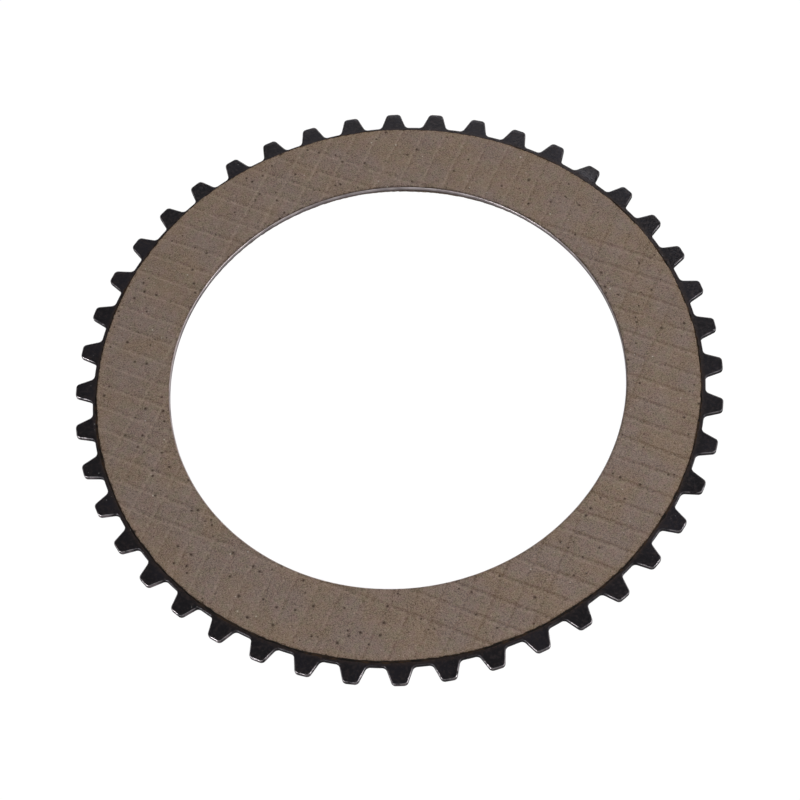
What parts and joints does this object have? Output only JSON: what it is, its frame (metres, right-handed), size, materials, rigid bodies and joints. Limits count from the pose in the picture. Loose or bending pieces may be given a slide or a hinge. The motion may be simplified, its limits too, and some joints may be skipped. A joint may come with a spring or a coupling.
{
  "type": "friction disc",
  "caption": "Flat ring-shaped friction disc for an oil-bathed brake or clutch: steel core plate with outside spline teeth and a grooved friction lining on each face.",
  "frame": {"origin": "centre of the bore, halfway through the disc's thickness", "axes": "+Z along the disc's axis, out of the front lining; +X through the middle of a tooth"},
  "size_m": [0.182, 0.182, 0.0034],
  "materials": {
    "core_steel": "satin black oxide on stamped steel",
    "friction_lining": "matt mottled grey-brown friction paper"
  },
  "bodies": {
    "root": {"core_plate": "core_steel", "front_lining": "friction_lining", "rear_lining": "friction_lining"}
  },
  "joints": []
}
